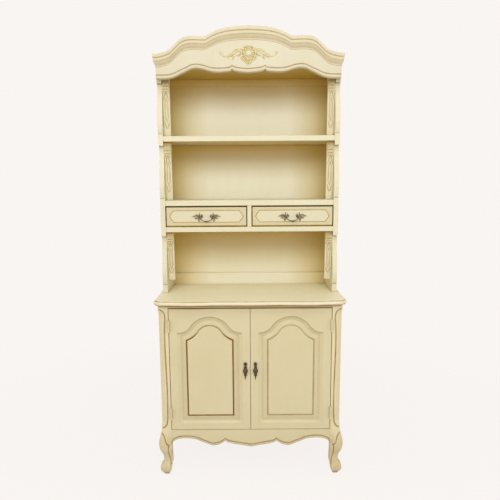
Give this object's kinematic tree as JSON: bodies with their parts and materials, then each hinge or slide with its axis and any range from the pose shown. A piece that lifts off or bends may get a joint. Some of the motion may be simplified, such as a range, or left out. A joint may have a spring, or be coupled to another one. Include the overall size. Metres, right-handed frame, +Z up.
{
  "type": "hutch cabinet",
  "caption": "Tall painted hutch cabinet: base with arched panel doors on cabriole legs, open shelves and small drawers above, arched cornice.",
  "frame": {"origin": "on the floor under the middle of the base top", "axes": "+Z up, +X to the right seen from the front, the front faces -Y"},
  "size_m": [0.86, 0.4739, 2.012],
  "materials": {
    "cream_paint": "cream paint, glazed in the mouldings",
    "inner_wood": "plain clear-coated wood",
    "gilt_trim": "rubbed old-gold paint",
    "antique_metal": "dark antique patina",
    "painted_hinge": "painted over with the case",
    "catch_plastic": "matte",
    "strike_steel": "plated"
  },
  "bodies": {
    "case": {"base_top": "cream_paint", "base_side_left": "cream_paint", "base_side_right": "cream_paint", "base_back_panel": "cream_paint", "base_bottom": "cream_paint", "base_shelf": "cream_paint", "shelf_cleats": "cream_paint", "base_front_rail": "cream_paint", "front_leg_left": "cream_paint", "front_leg_right": "cream_paint", "rear_legs": "cream_paint", "front_apron": "cream_paint", "hinge_case_leaves": "painted_hinge", "door_catch": "catch_plastic", "hutch_side_left": "cream_paint", "hutch_side_right": "cream_paint", "hutch_top_board": "cream_paint", "hutch_back_rails": "cream_paint", "hutch_back_panel": "cream_paint", "hutch_shelf": "cream_paint", "drawer_deck_upper": "cream_paint", "drawer_deck_lower": "cream_paint", "drawer_divider": "cream_paint", "corbels_left": "cream_paint", "corbels_right": "cream_paint", "cornice_board": "cream_paint", "cornice_sides": "cream_paint", "cornice_bead": "cream_paint", "crown_front": "cream_paint", "crown_returns": "cream_paint", "cornice_applique": "gilt_trim"},
    "door_left": {"door_left_hinge_stile": "cream_paint", "door_left_lock_stile": "cream_paint", "door_left_bottom_rail": "cream_paint", "door_left_top_rail": "cream_paint", "door_left_panel": "cream_paint", "door_pull_left": "antique_metal", "hinge_door_leaves_left": "painted_hinge", "strike_plate_left": "strike_steel"},
    "drawer_left": {"drawer_left_front": "cream_paint", "drawer_left_sides": "inner_wood", "drawer_left_back": "inner_wood", "drawer_left_bottom": "inner_wood", "drawer_left_rosettes": "antique_metal"},
    "bail_left": {"drawer_left_bail": "antique_metal"},
    "door_right": {"door_right_hinge_stile": "cream_paint", "door_right_lock_stile": "cream_paint", "door_right_bottom_rail": "cream_paint", "door_right_top_rail": "cream_paint", "door_right_panel": "cream_paint", "door_pull_right": "antique_metal", "hinge_door_leaves_right": "painted_hinge", "strike_plate_right": "strike_steel"},
    "drawer_right": {"drawer_right_front": "cream_paint", "drawer_right_sides": "inner_wood", "drawer_right_back": "inner_wood", "drawer_right_bottom": "inner_wood", "drawer_right_rosettes": "antique_metal"},
    "bail_right": {"drawer_right_bail": "antique_metal"}
  },
  "joints": [
    {"name": "door_left_hinge", "type": "hinge", "parent": "case", "child": "door_left", "pos_m": [-0.3658, -0.205, 0.5], "axis": [0, 0, -1], "range_deg": [0, 105]},
    {"name": "drawer_left_slide", "type": "slide", "parent": "case", "child": "drawer_left", "axis": [0, -1, 0], "range_m": [0, 0.16]},
    {"name": "bail_left_swing", "type": "hinge", "parent": "drawer_left", "child": "bail_left", "pos_m": [-0.199, -0.046, 1.19825], "axis": [-1, 0, 0], "range_deg": [0, 75]},
    {"name": "door_right_hinge", "type": "hinge", "parent": "case", "child": "door_right", "pos_m": [0.3658, -0.205, 0.5], "axis": [0, 0, 1], "range_deg": [0, 105]},
    {"name": "drawer_right_slide", "type": "slide", "parent": "case", "child": "drawer_right", "axis": [0, -1, 0], "range_m": [0, 0.16]},
    {"name": "bail_right_swing", "type": "hinge", "parent": "drawer_right", "child": "bail_right", "pos_m": [0.199, -0.046, 1.19825], "axis": [-1, 0, 0], "range_deg": [0, 75]}
  ]
}
